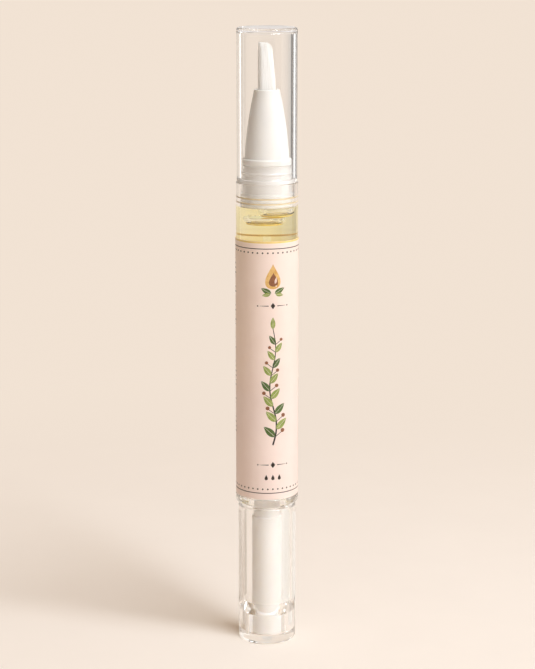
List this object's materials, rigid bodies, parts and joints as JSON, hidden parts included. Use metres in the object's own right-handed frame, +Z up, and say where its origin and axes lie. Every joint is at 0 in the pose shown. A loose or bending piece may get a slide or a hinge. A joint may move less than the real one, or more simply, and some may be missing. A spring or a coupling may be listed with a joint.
{
  "type": "nail oil pen",
  "caption": "Slim clear twist-up pen for nail oil: a pull-off cap over a brush tip, an oil barrel with a wrap label, and a clear knob that drives a piston by a screw.",
  "frame": {"origin": "centre of the knob's flat base, on the surface that the pen stands on", "axes": "+Z up the pen's axis from the knob to the cap, -Y towards the printed front of the label, +X to the right seen from the front"},
  "size_m": [0.0122, 0.0122, 0.1208],
  "materials": {
    "clear_plastic": "clear, polished, moulded",
    "white_plastic": "white, satin, moulded",
    "natural_plastic": "natural, satin, moulded",
    "collar_plastic": "milky clear, moulded",
    "piston_plastic": "white, soft, matte",
    "label_film": "pale pink printed film",
    "oil": "clear pale yellow oil",
    "bristle": "fine white nylon bristles"
  },
  "bodies": {
    "barrel": {"barrel": "clear_plastic", "label": "label_film", "oil_fill": "oil", "neck_collar": "collar_plastic", "inner_plug": "natural_plastic", "feed_tube": "natural_plastic", "brush_head": "white_plastic", "brush_ferrule": "natural_plastic", "brush_tuft": "bristle", "drive_nut": "natural_plastic", "ratchet_ring": "natural_plastic"},
    "cap": {"cap": "clear_plastic"},
    "knob": {"twist_knob": "clear_plastic", "drive_sleeve": "white_plastic"},
    "lead_screw": {"lead_screw": "white_plastic"},
    "piston": {"piston": "piston_plastic"}
  },
  "joints": [
    {"name": "cap_pull", "type": "slide", "parent": "barrel", "child": "cap", "axis": [0, 0, 1], "range_m": [0, 0.04]},
    {"name": "knob_turn", "type": "hinge", "parent": "barrel", "child": "knob", "pos_m": [0, 0, 0], "axis": [0, 0, 1], "range_deg": [0, 6120]},
    {"name": "screw_climb", "type": "slide", "parent": "knob", "child": "lead_screw", "axis": [0, 0, 1], "range_m": [0, 0.034]},
    {"name": "piston_climb", "type": "slide", "parent": "barrel", "child": "piston", "axis": [0, 0, 1], "range_m": [0, 0.034], "deforming": ["oil_fill"]}
  ],
  "couplings": [
    {"joint": "knob_turn", "follows": "piston_climb", "rad_per_m": 3141.6},
    {"joint": "screw_climb", "follows": "piston_climb", "ratio": 1}
  ]
}
